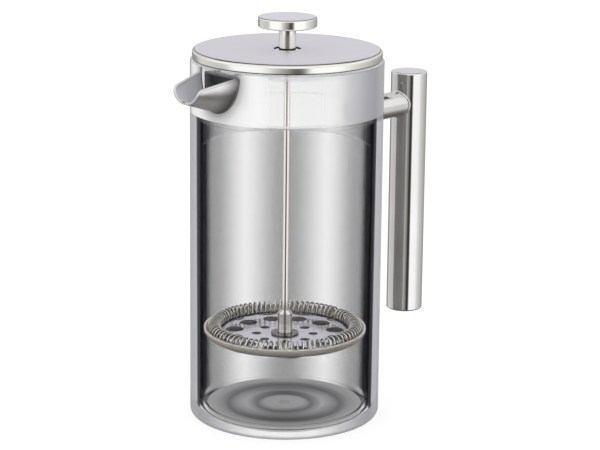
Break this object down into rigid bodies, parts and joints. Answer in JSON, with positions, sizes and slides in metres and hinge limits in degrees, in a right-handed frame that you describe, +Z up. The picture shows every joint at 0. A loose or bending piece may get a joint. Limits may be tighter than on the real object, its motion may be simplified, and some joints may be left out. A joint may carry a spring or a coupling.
{
  "type": "french press",
  "caption": "Double-walled french press with a clear shell, smoke-grey inner cup, upright bar handle, open spout, flat lid and a plunger with a sprung filter.",
  "frame": {"origin": "middle of the foot, on the vessel's axis, at the table", "axes": "+Z up along the vessel's axis, +X towards the handle, -X towards the spout"},
  "size_m": [0.1838, 0.105, 0.2223],
  "materials": {
    "clear_shell": "clear, polished",
    "clear_base": "clear, polished",
    "smoke_liner": "smoke grey, half mirrored",
    "pressed_floor": "spun satin",
    "pale_seal": "pale, matt",
    "spout_steel": "polished",
    "handle_steel": "polished",
    "lid_steel": "satin",
    "lid_liner_plastic": "clear, satin",
    "pale_gasket": "clear, matt",
    "strainer_steel": "dark satin",
    "bush_plastic": "matt",
    "knob_steel": "satin",
    "rod_steel": "polished",
    "filter_steel": "satin",
    "spring_steel": "drawn wire",
    "mesh_steel": "woven"
  },
  "bodies": {
    "vessel": {"outer_wall": "clear_shell", "outer_base": "clear_base", "inner_wall": "smoke_liner", "inner_floor": "pressed_floor", "shoulder_seal": "pale_seal", "spout": "spout_steel", "handle_grip": "handle_steel", "handle_post": "handle_steel", "handle_top_cap": "handle_steel", "handle_bottom_cap": "handle_steel"},
    "lid_seal": {"lid_gasket": "pale_gasket"},
    "lid": {"lid_cap": "lid_steel", "lid_liner": "lid_liner_plastic", "pour_strainer": "strainer_steel", "strainer_rivets": "strainer_steel"},
    "bush": {"guide_bush": "bush_plastic", "bush_retainer": "bush_plastic"},
    "plunger": {"knob": "knob_steel", "knob_neck": "knob_steel", "plunger_rod": "rod_steel", "filter_hub": "rod_steel", "spring_plate": "filter_steel", "rim_spring": "spring_steel", "mesh_screen": "mesh_steel", "mesh_hem": "mesh_steel", "cross_plate": "filter_steel", "filter_nut": "filter_steel"}
  },
  "joints": [
    {"name": "lid_lift", "type": "slide", "parent": "vessel", "child": "lid_seal", "axis": [0, 0, 1], "range_m": [0, 0.165]},
    {"name": "lid_turn", "type": "hinge", "parent": "lid_seal", "child": "lid", "pos_m": [0, 0, 0.199], "axis": [0, 0, 1], "continuous": true},
    {"name": "plunger_turn", "type": "hinge", "parent": "lid", "child": "bush", "pos_m": [0, 0, 0.199], "axis": [0, 0, 1], "continuous": true},
    {"name": "plunger_press", "type": "slide", "parent": "bush", "child": "plunger", "axis": [0, 0, 1], "range_m": [0, 0.1345]}
  ]
}
